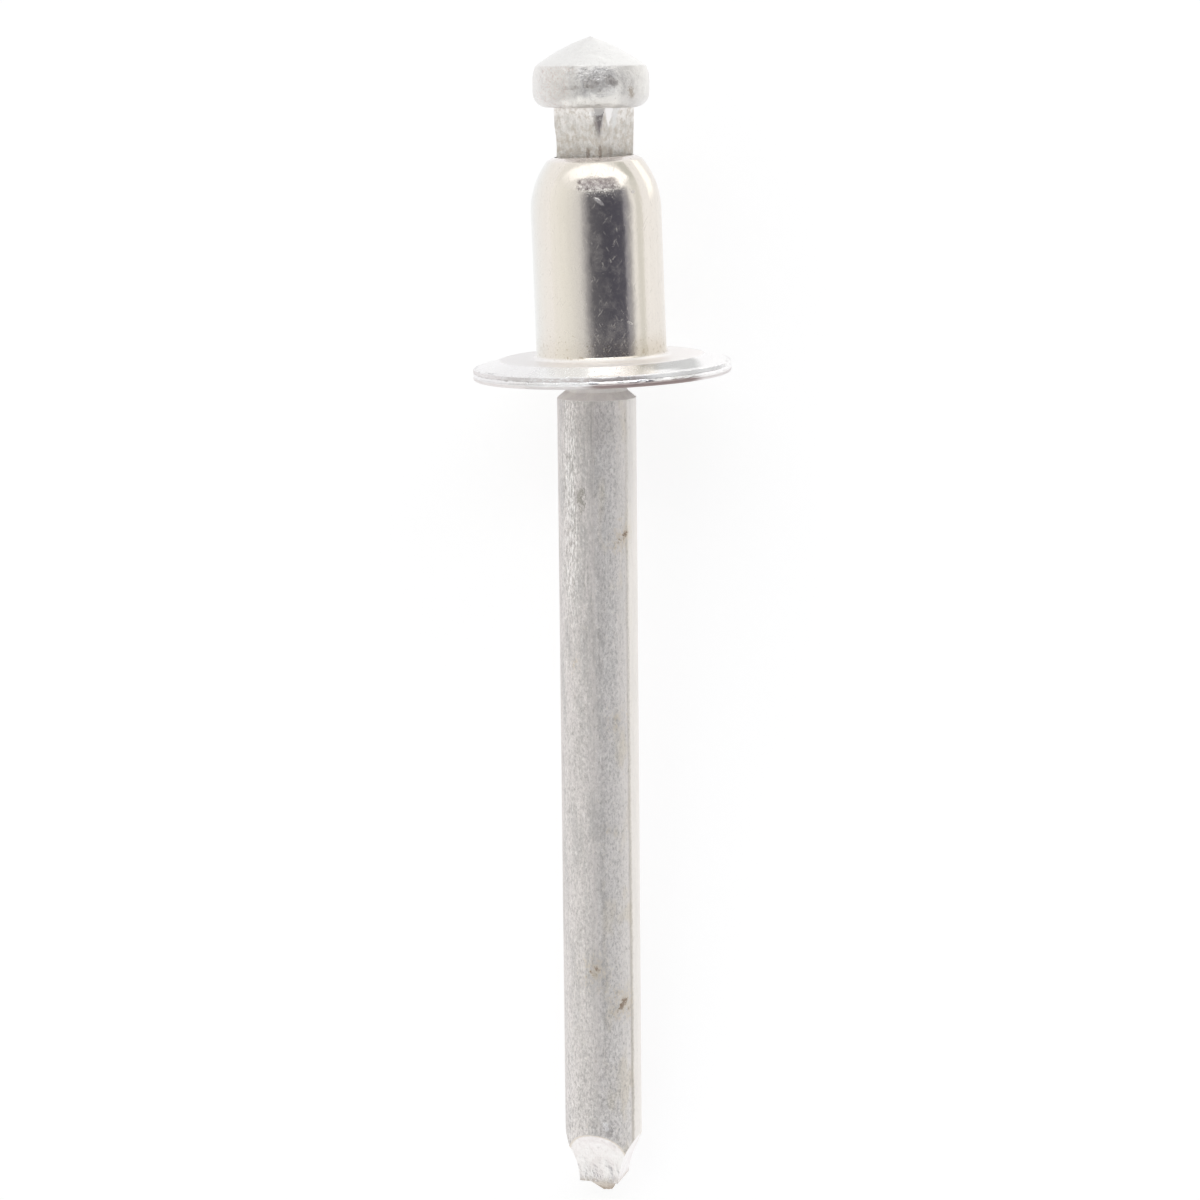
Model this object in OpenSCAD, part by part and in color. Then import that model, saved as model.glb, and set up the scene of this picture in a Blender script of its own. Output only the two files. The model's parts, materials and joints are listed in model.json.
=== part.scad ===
// Blind rivet, not yet set, lying as it comes to rest on a flat surface:
// the flange's rim and the far end of the mandrel's stem touch the surface.
// Two pieces: the hollow rivet body, and the mandrel crimped into it.
// Millimetres. The origin is the middle of the flange's work face, on the body's axis.
// The mandrel's head points to +X and a little up, and its stem runs down to -X.

/* [Rivet body] */
// Diameter of the sleeve that goes through the sheets
body_d = 4.8; // [4.4:0.1:6.4]
// Length of the sleeve, from the work face to its crimped end
body_len = 7.3; // [5:0.1:14]
// Length of the stretch where the sleeve curves in towards its end
shoulder_len = 2; // [1.4:0.1:2.6]
// Width of the flat ring around the hole in the sleeve's end
lip_w = 0.2; // [0.1:0.02:0.4]
// Radius of the fillet between the sleeve and the work face
seat_fillet = 0.18; // [0.05:0.01:0.4]

/* [Flange] */
// Diameter of the flange
flange_d = 9.5; // [8:0.1:14]
// Width of the rounded ring around the flat work face
edge_w = 1.05; // [0.5:0.05:1.4]
// How far that ring falls away from the work face
edge_drop = 0.33; // [0.1:0.01:0.5]
// Height of the upright rim
rim_h = 0.37; // [0.3:0.01:0.8]
// Radius of the rim's lower edge
rim_round = 0.12; // [0.04:0.01:0.2]
// Height of the dome under the flange
dome_h = 0.3; // [0.1:0.05:0.8]
// Bevel around the mouth of the bore
mouth_bevel = 0.15; // [0.05:0.01:0.3]

/* [Mandrel] */
// Diameter of the mandrel's stem
stem_d = 2.92; // [2.4:0.02:3.2]
// Length of the stem, from the work face to where its point starts
stem_len = 29.5; // [20:0.5:40]
// Diameter of the groove under the flange
groove_d = 2.26; // [1.8:0.02:2.3]
// Length of the groove that shows under the flange
groove_out = 0.55; // [0.4:0.05:1.5]
// Length of the groove that is hidden in the bore
groove_in = 0.7; // [0.4:0.05:1.5]
// Length of the slope at each end of the groove
groove_slope = 0.19; // [0.05:0.01:0.3]
// Length of the neck between the sleeve's end and the mandrel's head
neck_len = 1.76; // [1.4:0.02:3]
// How much the neck is thinner than the stem at its foot, on the radius
neck_cut = 0.04; // [0.02:0.01:0.1]

/* [Break point] */
// Depth of the four pinched flats on the neck, where the mandrel breaks
pinch_depth = 0.44; // [0.1:0.02:0.5]
// Radius of the jaws that pinched the flats
pinch_r = 2.6; // [2:0.1:4]
// Distance of the deepest place of the flats from the sleeve's end
pinch_rise = 0.2; // [0:0.05:0.4]
// Turn of the first flat, from the top of the lying mandrel
pinch_turn = 54; // [0:1:89]

/* [Mandrel head] */
// Diameter of the head
head_d = 4.24; // [3.8:0.02:4.6]
// Height of the head, from its underside to its rim
head_h = 1.49; // [1.3:0.01:2.2]
// Radius of the head's lower edge
head_round = 0.55; // [0.2:0.05:0.55]
// How much the rim is smaller than the head, on the radius
head_tuck = 0.15; // [0.05:0.01:0.3]
// Height of the stretch that tucks in towards the rim
tuck_h = 0.35; // [0.2:0.05:0.5]
// Height of the low cone on the head
cone_h = 1.05; // [0.4:0.05:1.6]
// How far the middle of the cone's side swells past a straight line
cone_swell = 0.1; // [0:0.01:0.2]
// How far the head was struck off the mandrel's axis
head_off = 0.1; // [0:0.01:0.1]

/* [Nipped point] */
// Length of the point
point_len = 2.1; // [1.5:0.1:3]
// Half the width of the point's square end
point_half_w = 0.74; // [0.5:0.02:1]
// Radius of the four scoops that the nipping tool left
scoop_r = 5.5; // [4:0.5:9]
// Turn of the first scoop, from the top of the lying mandrel
scoop_turn = -17; // [-45:1:45]
// Height of the broken spur in the middle of the end
spur_h = 0.5; // [0.2:0.05:0.8]
// Width of the spur at its root
spur_w = 0.9; // [0.5:0.05:1]
// How far the spur stands to one side of the stem's axis
spur_off = 0.12; // [0:0.01:0.2]

/* [Fits] */
// Radial gap between the stem and the bore
bore_gap = 0.24; // [0.1:0.01:0.3]
// Radial gap between the neck and the crimped end of the sleeve
grip_gap = 0.03; // [0.02:0.01:0.05]
// Gap left at the tighter side where the body leans against the stem
lean_gap = 0.03; // [0.02:0.01:0.08]

/* [Hidden] */
$fn = 96;

body_r = body_d / 2;
flange_r = flange_d / 2;
stem_r = stem_d / 2;
neck_r = stem_r - neck_cut;
bore_r = stem_r + bore_gap;
hole_r = neck_r + grip_gap;
end_r = hole_r + lip_w;

// The sleeve's shoulder: an arc that leaves the wall straight and ends at the flat ring.
// The inside of the shell follows the same centre, until it closes on the neck.
shoulder_z = body_len - shoulder_len;
shoulder_in = body_r - end_r;
shoulder_r = arc_radius(shoulder_len, shoulder_in);
shoulder_x = body_r - shoulder_r;
inner_r = bore_r - shoulder_x;
grip_z = shoulder_z + sqrt(inner_r ^ 2 - (hole_r - shoulder_x) ^ 2);

// The flange: flat seat, rounded ring, upright rim, and a dome underneath.
seat_r = flange_r - edge_w;
edge_r = arc_radius(edge_w, edge_drop);
rim_z = edge_drop + rim_h;
dome_edge = flange_r - rim_round;
dome_r = arc_radius(dome_edge, dome_h);
under_z = rim_z + dome_h + sqrt(dome_r ^ 2 - bore_r ^ 2) - dome_r;

// The mandrel, along its axis from the work face.
groove_low = under_z + groove_out;
groove_top = under_z - groove_in;
neck_slope = 0.25;
head_z = body_len + neck_len;
head_r = head_d / 2;
rim_top = head_z + head_h;
tuck_r = arc_radius(tuck_h, head_tuck);
rim_r = head_r - head_tuck;
cone_side = norm([rim_r, cone_h]);
point_z = stem_len + point_len;
into_head = 0.4;

// The body pivots where it grips the neck, until its bore meets the stem above the groove.
pivot_z = (grip_z + body_len) / 2;
lean = asin((bore_gap - lean_gap) / (pivot_z + groove_top));

// The body comes to rest on the rim's lower edge and on the end of the stem.
rest_run = stem_len - (rim_z - rim_round);
rest_fall = flange_r - rim_round - stem_r;
rest_tilt = atan(rest_fall / rest_run) + asin(rim_round / norm([rest_run, rest_fall]));

// Radius of the arc that starts parallel to a line of this length and ends this far off it.
function arc_radius(run, off) = (run ^ 2 + off ^ 2) / (2 * off);

// Everything is drawn upright, with the work face at z = 0, and then laid down.
module lay_down() {
    rotate([0, -rest_tilt, 0]) rotate([90, 0, 90]) children();
}

module turn_about_neck() {
    translate([0, 0, pivot_z]) rotate([0, -lean, 0]) translate([0, 0, -pivot_z]) children();
}

module four_around(first) {
    for (i = [0 : 3]) rotate([0, 0, 90 + first + 90 * i]) children();
}

module sleeve_section() {
    square([body_r, shoulder_z]);
    intersection() {
        translate([shoulder_x, shoulder_z]) circle(shoulder_r);
        translate([0, shoulder_z]) square([body_r + 1, shoulder_len]);
    }
    difference() {
        square([body_r + seat_fillet, seat_fillet]);
        translate([body_r + seat_fillet, seat_fillet]) circle(seat_fillet);
    }
}

module flange_section() {
    translate([0, -rim_z]) square([seat_r, rim_z]);
    difference() {
        intersection() {
            translate([seat_r, -edge_r]) circle(edge_r);
            translate([seat_r, -rim_z]) square([edge_w, rim_z]);
        }
        difference() {
            translate([dome_edge, -rim_z - 1]) square([1, 1 + rim_round]);
            translate([dome_edge, -rim_z + rim_round]) circle(rim_round);
        }
    }
    intersection() {
        translate([0, dome_r - rim_z - dome_h]) circle(dome_r);
        translate([0, -rim_z - dome_h]) square([flange_r, dome_h]);
    }
}

module bore_section() {
    translate([0, -under_z - 1]) square([bore_r, shoulder_z + under_z + 1]);
    intersection() {
        translate([shoulder_x, shoulder_z]) circle(inner_r);
        translate([0, shoulder_z]) square([body_r, grip_z - shoulder_z]);
    }
    translate([0, shoulder_z]) square([hole_r, shoulder_len + 1]);
    polygon([
        [0, -under_z - mouth_bevel],
        [bore_r + 2 * mouth_bevel, -under_z - mouth_bevel],
        [bore_r, -under_z + mouth_bevel],
        [0, -under_z + mouth_bevel]
    ]);
}

module rivet_body() {
    color("gainsboro") lay_down() rotate_extrude() difference() {
        union() {
            sleeve_section();
            flange_section();
        }
        bore_section();
    }
}

module stem_section() {
    polygon([
        [0, -point_z],
        [stem_r, -point_z],
        [stem_r, -groove_low],
        [groove_d / 2, -groove_low + groove_slope],
        [groove_d / 2, -groove_top - groove_slope],
        [stem_r, -groove_top],
        [stem_r, grip_z - neck_slope],
        [neck_r, grip_z],
        [neck_r, body_len],
        [stem_r, head_z],
        [stem_r, head_z + into_head],
        [0, head_z + into_head]
    ]);
}

module head_section() {
    translate([0, head_z]) square([head_r - head_round, head_h]);
    translate([0, head_z + head_round]) square([head_r, head_h - head_round - tuck_h]);
    intersection() {
        translate([head_r - head_round, head_z + head_round]) circle(head_round);
        translate([0, head_z]) square([head_r + 1, head_round]);
    }
    intersection() {
        translate([head_r - tuck_r, rim_top - tuck_h]) circle(tuck_r);
        translate([0, rim_top - tuck_h]) square([head_r + 1, tuck_h]);
    }
    polygon([
        [0, rim_top],
        [rim_r, rim_top],
        [rim_r / 2 + cone_swell * cone_h / cone_side, rim_top + cone_h / 2 + cone_swell * rim_r / cone_side],
        [0, rim_top + cone_h]
    ]);
}

// One pinched flat: a jaw pressed into the neck from the side.
module pinch() {
    translate([stem_r - pinch_depth + pinch_r, 0, body_len + pinch_rise])
        rotate([90, 0, 0]) cylinder(r = pinch_r, h = 2 * stem_d, center = true);
}

// One scoop of the nipped point. Its surface runs from the stem's side at stem_len
// to point_half_w from the axis at point_z, hollow by scoop_r.
module scoop() {
    fall = stem_r - point_half_w;
    chord = norm([point_len, fall]);
    reach = sqrt(scoop_r ^ 2 - (chord / 2) ^ 2);
    translate([
        (stem_r + point_half_w) / 2 + reach * point_len / chord,
        0,
        -stem_len - point_len / 2 - reach * fall / chord
    ])
        rotate([90, 0, 0]) cylinder(r = scoop_r, h = 2 * stem_d, center = true);
}

// The spur left where the wire tore: two wedges across each other.
module spur() {
    root = 0.3;
    intersection_for (turn = [0, 90])
        rotate([90, 0, scoop_turn + turn]) linear_extrude(spur_w, center = true)
            polygon([
                [-spur_w / 2, -point_z + root],
                [-spur_w / 2, -point_z],
                [-spur_w / 6, -point_z - spur_h],
                [spur_w / 6, -point_z - spur_h],
                [spur_w / 2, -point_z],
                [spur_w / 2, -point_z + root]
            ]);
}

module mandrel() {
    color("silver") lay_down() turn_about_neck() {
        difference() {
            rotate_extrude() stem_section();
            four_around(pinch_turn) pinch();
            four_around(scoop_turn) scoop();
        }
        translate([head_off, 0, 0]) rotate_extrude() head_section();
        translate([-spur_off, 0, 0]) spur();
    }
}

rivet_body();
mandrel();
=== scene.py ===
import json
import math

import bpy
from mathutils import Matrix, Vector


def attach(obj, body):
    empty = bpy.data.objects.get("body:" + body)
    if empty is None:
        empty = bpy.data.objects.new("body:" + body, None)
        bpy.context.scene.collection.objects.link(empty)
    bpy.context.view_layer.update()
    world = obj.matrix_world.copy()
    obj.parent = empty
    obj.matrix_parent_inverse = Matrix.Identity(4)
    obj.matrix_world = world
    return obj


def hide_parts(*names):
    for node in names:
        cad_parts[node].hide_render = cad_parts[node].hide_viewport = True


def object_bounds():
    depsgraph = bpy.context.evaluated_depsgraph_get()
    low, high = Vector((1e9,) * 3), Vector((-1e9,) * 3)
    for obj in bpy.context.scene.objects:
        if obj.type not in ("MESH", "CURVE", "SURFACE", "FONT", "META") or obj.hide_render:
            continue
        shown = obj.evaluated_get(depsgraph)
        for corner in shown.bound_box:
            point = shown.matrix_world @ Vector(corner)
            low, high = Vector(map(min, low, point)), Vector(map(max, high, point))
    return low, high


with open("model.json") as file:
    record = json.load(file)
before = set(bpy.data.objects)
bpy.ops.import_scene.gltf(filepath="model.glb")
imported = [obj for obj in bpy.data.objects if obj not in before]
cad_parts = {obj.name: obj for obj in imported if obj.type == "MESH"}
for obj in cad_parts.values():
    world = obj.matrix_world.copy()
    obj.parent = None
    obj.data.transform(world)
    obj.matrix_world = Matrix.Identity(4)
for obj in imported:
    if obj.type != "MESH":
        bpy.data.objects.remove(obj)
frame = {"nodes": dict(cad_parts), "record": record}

cad_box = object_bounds()

# A blind rivet, not yet set, lying on a table: a bright hollow body with a round flange,
# crimped around the neck of a mandrel of drawn wire.
# Every piece is drawn upright in millimetres, with the flange's work face at height 0
# and the mandrel's head at the top, and is then laid down into the frame in metres.
# A turn is an angle around the upright piece, from the side that lies on top.

MM = 0.001

# ---- sizes, in millimetres ----
BODY_R = 2.4
BODY_LEN = 7.3
SHOULDER_LEN = 2.0
HOLE_R = 1.45
LIP_W = 0.2
SEAT_FILLET = 0.24
FLANGE_R = 4.75
EDGE_W = 1.05
EDGE_DROP = 0.33
RIM_H = 0.37
RIM_ROUND = 0.07
RING_SLOPE = 0.257
RING_CURVE = 0.01
RING_SHORT = 0.07
CREVICE = 0.03
DOME_H = 0.3
BORE_R = 1.7
MOUTH_BEVEL = 0.15
SEAT_R = FLANGE_R - EDGE_W
RIM_Z = EDGE_DROP + RIM_H

STEM_R = 1.46
STEM_LEN = 29.5
GROOVE_R = 1.13
GROOVE_OUT = 0.55
GROOVE_IN = 0.7
GROOVE_SLOPE = 0.19
NECK_LEN = 1.76
NECK_R = 1.42
NECK_SLOPE = 0.25

PINCH_DEPTH = 0.44
PINCH_R = 6.0
PINCH_RISE = 0.3
PINCH_TURN = 51

HEAD_R = 2.12
HEAD_H = 1.49
HEAD_ROUND = 0.55
HEAD_TUCK = 0.12
TUCK_H = 0.6
CONE_H = 1.05
CONE_SWELL = 0.1
HEAD_OFF = 0.1
HEAD_FOOT = BODY_LEN + NECK_LEN
HEAD_TOP = HEAD_FOOT + HEAD_H
INTO_HEAD = 0.4

POINT_LEN = 2.1
POINT_HALF_W = 0.74
POINT_FOOT = STEM_LEN + POINT_LEN
NIP_TURN = -17

# Each flat of the neck: its turn from the first, and how much deeper it is.
FLATS = ((0, 0), (90, 0), (180, 0.05), (270, 0.05))
# Each scoop of the point: its turn from the first, its radius, and how much lower it lies.
SCOOPS = ((0, 2.6, 0), (90, 4.2, 0.24), (180, 4.2, 0.1), (270, 4.2, 0))
# The spur's radius at its root, and each step down it: aside, down, and the share of width left.
SPUR_ROOT_R = 0.62
SPUR_STEPS = (
    (0, -0.24, 0.98),
    (-0.08, -0.16, 0.80),
    (-0.10, -0.16, 0.66),
    (-0.04, -0.13, 0.55),
)

# Corners nearer to each other than this are one corner.
SLIVER = 0.002


# ---- where the two pieces lie ----
def lying_frame(foot, axis, scale=MM):
    """The matrix that lays an upright piece down: its foot to a place, its height along an axis."""
    axis = axis.normalized()
    level = Vector((0, 1, 0))
    up = axis.cross(level).normalized()
    side = up.cross(axis).normalized()
    turned = Matrix((side, up, axis)).transposed().to_4x4()
    return Matrix.Translation(foot) @ turned @ Matrix.Scale(scale, 4)


mounts = {m["name"]: m for m in frame["record"]["mounts"]}
seat = Vector(mounts["sleeve"]["pos_m"])
body_axis = Vector(mounts["sleeve"]["axis"]).normalized()
stem_axis = -Vector(mounts["stem"]["axis"]).normalized()
stem_middle = Vector(mounts["stem"]["pos_m"])

# The two axes cross in the middle of the crimp.
closeness = body_axis.dot(stem_axis)
gap = stem_middle - seat
pivot_height = (gap.dot(body_axis) - gap.dot(stem_axis) * closeness) / (1 - closeness**2)
pivot = seat + body_axis * pivot_height
stem_foot = pivot - stem_axis * pivot_height

body_frame = lying_frame(seat, body_axis)
stem_frame = lying_frame(stem_foot, stem_axis)
floor_height = cad_box[0].z


# ---- camera ----
LOOK_ALONG = -9.12 * MM
LOOK_TILT = math.radians(10.05)
CAMERA_AWAY = 123 * MM
CAMERA_ROLL = math.radians(0.55)
AIM_ASIDE = 0.052 * MM
LENS_MM = 99
SENSOR_MM = 36

up_normal = body_axis.cross(Vector((0, 1, 0))).normalized()
looked_at = pivot + stem_axis * (LOOK_ALONG - pivot_height)
looked_from = up_normal * math.cos(LOOK_TILT) + stem_axis * math.sin(LOOK_TILT)
camera_at = looked_at + looked_from * CAMERA_AWAY
forward = (looked_at - camera_at).normalized()
picture_up = (stem_axis - forward * stem_axis.dot(forward)).normalized()
picture_right = forward.cross(picture_up)
stem_side = up_normal.cross(stem_axis).normalized()
rolled_right = picture_right * math.cos(CAMERA_ROLL) - picture_up * math.sin(CAMERA_ROLL)
rolled_up = picture_up * math.cos(CAMERA_ROLL) + picture_right * math.sin(CAMERA_ROLL)
camera_at = camera_at + rolled_right * AIM_ASIDE

bpy.ops.object.camera_add()
camera = bpy.context.object
camera.name = "camera"
camera.data.sensor_width = SENSOR_MM
camera.data.lens = LENS_MM
camera.data.clip_start = 0.01
camera.data.clip_end = 10
camera_turn = Matrix((rolled_right, rolled_up, -forward)).transposed().to_4x4()
camera.matrix_world = Matrix.Translation(camera_at) @ camera_turn
bpy.context.scene.camera = camera
bpy.context.scene.view_settings.view_transform = "Standard"


# ---- shader nodes ----
class Number:
    """A number that differs from place to place: a node's output, for use in sums."""

    def __init__(self, nodes, socket):
        self.nodes = nodes
        self.socket = socket

    def __add__(self, other):
        return self.nodes.sum("ADD", self, other)

    def __sub__(self, other):
        return self.nodes.sum("SUBTRACT", self, other)

    def __rsub__(self, other):
        return self.nodes.sum("SUBTRACT", other, self)

    def __mul__(self, other):
        return self.nodes.sum("MULTIPLY", self, other)

    def __truediv__(self, other):
        return self.nodes.sum("DIVIDE", self, other)

    def __rtruediv__(self, other):
        return self.nodes.sum("DIVIDE", other, self)

    __radd__ = __add__
    __rmul__ = __mul__


class Nodes:
    """The node sheet of a material or a world."""

    def __init__(self, owner):
        owner.use_nodes = True
        self.tree = owner.node_tree
        self.tree.nodes.clear()

    def add(self, kind, inputs=(), out=0, stops=None, **settings):
        """One node: its settings, then the values or links of its sockets. Gives one output."""
        node = self.tree.nodes.new(kind)
        for name, value in settings.items():
            setattr(node, name, value)
        if stops:
            ramp = node.color_ramp
            while len(ramp.elements) < len(stops):
                ramp.elements.new(0.5)
            for element, (at, colour) in zip(ramp.elements, stops):
                element.position = at
                element.color = (*colour, 1)
        for key, value in dict(inputs).items():
            if isinstance(value, Number):
                self.tree.links.new(value.socket, node.inputs[key])
            else:
                node.inputs[key].default_value = value
        return Number(self, node.outputs[out])

    def sum(self, operation, *values):
        return self.add("ShaderNodeMath", dict(enumerate(values)), operation=operation)

    def least(self, a, b):
        return self.sum("MINIMUM", a, b)

    def most(self, a, b):
        return self.sum("MAXIMUM", a, b)

    def rise(self, value, low, high):
        """0 below low, 1 above high, and a smooth slope between."""
        return self.add(
            "ShaderNodeMapRange",
            {"Value": value, "From Min": low, "From Max": high},
            interpolation_type="SMOOTHSTEP",
        )

    def within(self, value, low, high, soft):
        """1 from low to high, with soft edges outside it."""
        return self.rise(value, low - soft, low) * (1 - self.rise(value, high, high + soft))

    def mix(self, share, a, b):
        """Colour a, and colour b where share is 1."""
        return self.add("ShaderNodeMix", {0: share, 6: a, 7: b}, out=2, data_type="RGBA")

    def xyz(self, vector):
        node = self.add("ShaderNodeSeparateXYZ", {0: vector}).socket.node
        return [Number(self, output) for output in node.outputs]

    def vector(self, x, y, z):
        return self.add("ShaderNodeCombineXYZ", {0: x, 1: y, 2: z})

    def along(self, vector, axis):
        """How far a vector reaches along an axis."""
        return self.add(
            "ShaderNodeVectorMath", {0: vector, 1: axis}, out=1, operation="DOT_PRODUCT"
        )

    def upright(self, lying):
        """The place on a piece in millimetres, as it was drawn before it was laid down."""
        place = self.add("ShaderNodeTexCoord", out=3)
        return self.add(
            "ShaderNodeMapping",
            {
                "Vector": place,
                "Location": lying.to_translation(),
                "Rotation": lying.to_3x3().normalized().to_euler(),
                "Scale": (MM, MM, MM),
            },
            vector_type="TEXTURE",
        )

    def turn(self, x, y):
        """Degrees around the upright piece from the side that lies on top."""
        return self.sum("ARCTAN2", x * -1, y) * (180 / math.pi)

    def mark(self, across, up, at_across, at_up, half_len, half_wide, slope):
        """1 in the middle of a long mark on the surface, 0 at its outline."""
        c, s = math.cos(math.radians(slope)), math.sin(math.radians(slope))
        dx = across - at_across
        dz = up - at_up
        along = (dx * c - dz * s) / half_len
        over = (dx * s + dz * c) / half_wide
        return 1 - self.rise(along * along + over * over, 0.2, 1.0)

    def marks(self, across, up, spots):
        """The strongest of several marks. Each spot ends with its strength."""
        strongest = 0
        for *spot, strength in spots:
            strongest = self.most(strongest, self.mark(across, up, *spot) * strength)
        return strongest

    def length(self, x, y):
        return self.sum("SQRT", x * x + y * y)

    def noise(self, vector, scale, detail=3, roughness=0.55):
        return self.add(
            "ShaderNodeTexNoise",
            {"Vector": vector, "Scale": scale, "Detail": detail, "Roughness": roughness},
        )

    def bump(self, height, depth, under=None):
        """A normal from a height in millimetres."""
        inputs = {"Height": height * depth, "Strength": 1.0, "Distance": MM}
        if under:
            inputs["Normal"] = under
        return self.add("ShaderNodeBump", inputs)

    def metal(self, colour, roughness, normal=None, metallic=1.0):
        inputs = {"Base Color": colour, "Metallic": metallic, "Roughness": roughness}
        if normal:
            inputs["Normal"] = normal
        shader = self.add("ShaderNodeBsdfPrincipled", inputs)
        self.add_output("ShaderNodeOutputMaterial", shader)

    def add_output(self, kind, shader):
        node = self.tree.nodes.new(kind)
        self.tree.links.new(shader.socket, node.inputs["Surface"])


def material(name):
    made = bpy.data.materials.new(name)
    return made, Nodes(made)


def rgb(red, green, blue):
    return (red, green, blue, 1)


# ---- studio: a white tent around a pale table, with a dark opening for the camera ----
def white_tent():
    """The light, by the way that a ray goes. What the camera sees past the table is plain white."""
    world = bpy.data.worlds.new("tent")
    bpy.context.scene.world = world
    n = Nodes(world)
    way = n.add("ShaderNodeTexCoord", out=0)
    ahead = n.along(way, tuple(stem_axis))
    above = n.along(way, tuple(up_normal))
    right = n.along(way, tuple(-stem_side))
    around = n.sum("ARCTAN2", right, above) * (180 / math.pi)
    lean = n.sum("ARCSINE", ahead) * (180 / math.pi)
    wall = n.add(
        "ShaderNodeValToRGB",
        {0: around / 360 + 0.5},
        stops=[
            ((180 + degrees) / 360, (level, level, level * cool))
            for degrees, level, cool in (
                (-100, 1.15, 1.0),
                (-84, 1.04, 0.98),
                (-64, 0.98, 0.96),
                (-48, 0.89, 0.97),
                (-31, 0.78, 1.0),
                (-21, 0.41, 1.05),
                (-11, 0.14, 1.15),
                (16, 0.085, 1.3),
                (48, 0.105, 1.3),
                (51, 0.31, 1.15),
                (59, 0.43, 1.05),
                (65, 0.86, 1.0),
                (70, 1.05, 0.99),
                (77, 0.84, 0.96),
                (87, 0.86, 0.96),
                (96, 1.06, 0.98),
            )
        ],
    )
    facing = n.rise(lean, -15, -7) * 0.45 + 0.55
    opening = facing * n.rise(lean, -40, -20) * (1 - n.rise(lean, 27, 32))
    colour = n.mix(opening, rgb(1, 1, 0.98), wall)
    far_side = n.within(around, 82, 93, 12) * n.rise(lean, 20, 40) * (1 - n.rise(lean, 54, 70))
    colour = n.mix(far_side, colour, rgb(0.70, 0.71, 0.67))
    rising = above / ahead
    aside = right / ahead
    arch = rising + aside * aside * 0.12
    beyond_head = n.rise(ahead, 0.3, 0.4)
    ends = n.rise(aside, -1.6, -0.4) * (1 - n.rise(aside, 1.1, 1.4))
    lamp = n.within(arch, 0.39, 0.82, 0.07) * ends * beyond_head
    bar = n.within(arch, 0.92, 1.12, 0.05) * n.within(aside, -0.35, 0.7, 0.3) * beyond_head
    strip = n.within(lean, 33, 40, 1.5) * n.within(around, -28, 58, 10)
    strip_light = n.mix(n.within(around, -34, 36, 14), rgb(1.5, 1.5, 1.5), rgb(3.0, 3.15, 3.3))
    colour = n.mix(lamp, colour, rgb(1.5, 1.5, 1.5))
    colour = n.mix(strip, colour, strip_light)
    colour = n.mix(bar * 0.85, colour, rgb(0.42, 0.36, 0.37))
    seen = n.add("ShaderNodeLightPath", out=0)
    lit = n.add("ShaderNodeBackground", {"Color": colour, "Strength": 1.0})
    plain = n.add("ShaderNodeBackground", {"Color": rgb(1, 1, 1), "Strength": 1.0})
    shown = n.add("ShaderNodeMixShader", {0: seen, 1: lit, 2: plain})
    n.add_output("ShaderNodeOutputWorld", shown)


def pale_table():
    """The surface under the rivet. It keeps the rivet's shadow and looks pale to the camera. In
    reflections it shows painted grey shade, with a painted pool of light beside the rivet.
    """
    bpy.ops.mesh.primitive_circle_add(
        vertices=96, radius=3, fill_type="NGON", location=(0, 0, floor_height)
    )
    table = bpy.context.object
    table.name = "table"
    bpy.ops.object.transform_apply(location=True)
    surface, n = material("pale_table")
    path = n.add("ShaderNodeLightPath").socket.node
    camera_ray, glossy_ray, through_ray = [
        Number(n, path.outputs[name])
        for name in ("Is Camera Ray", "Is Glossy Ray", "Is Transmission Ray")
    ]
    seen = n.least(camera_ray + glossy_ray + through_ray, 1)
    matt = n.add("ShaderNodeBsdfDiffuse", {"Color": rgb(0.36, 0.36, 0.36)})
    ahead, left, _ = n.xyz(n.add("ShaderNodeTexCoord", out=3))
    # Painted light and shade, seen only in reflections: a bright pool beside the rivet, with grey
    # painted shade around it.
    lit = n.within(ahead, 0.010, 0.017, 0.003) * n.within(left * -1, 0.010, 0.017, 0.003)
    painted_shade_and_light = n.mix(lit, rgb(0.78, 0.78, 0.785), rgb(1.2, 1.2, 1.15))
    pale = n.mix(glossy_ray, rgb(0.73, 0.73, 0.73), painted_shade_and_light)
    glow = n.add("ShaderNodeEmission", {"Color": pale, "Strength": seen})
    n.add_output("ShaderNodeOutputMaterial", n.add("ShaderNodeAddShader", {0: matt, 1: glow}))
    table.data.materials.append(surface)


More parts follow.
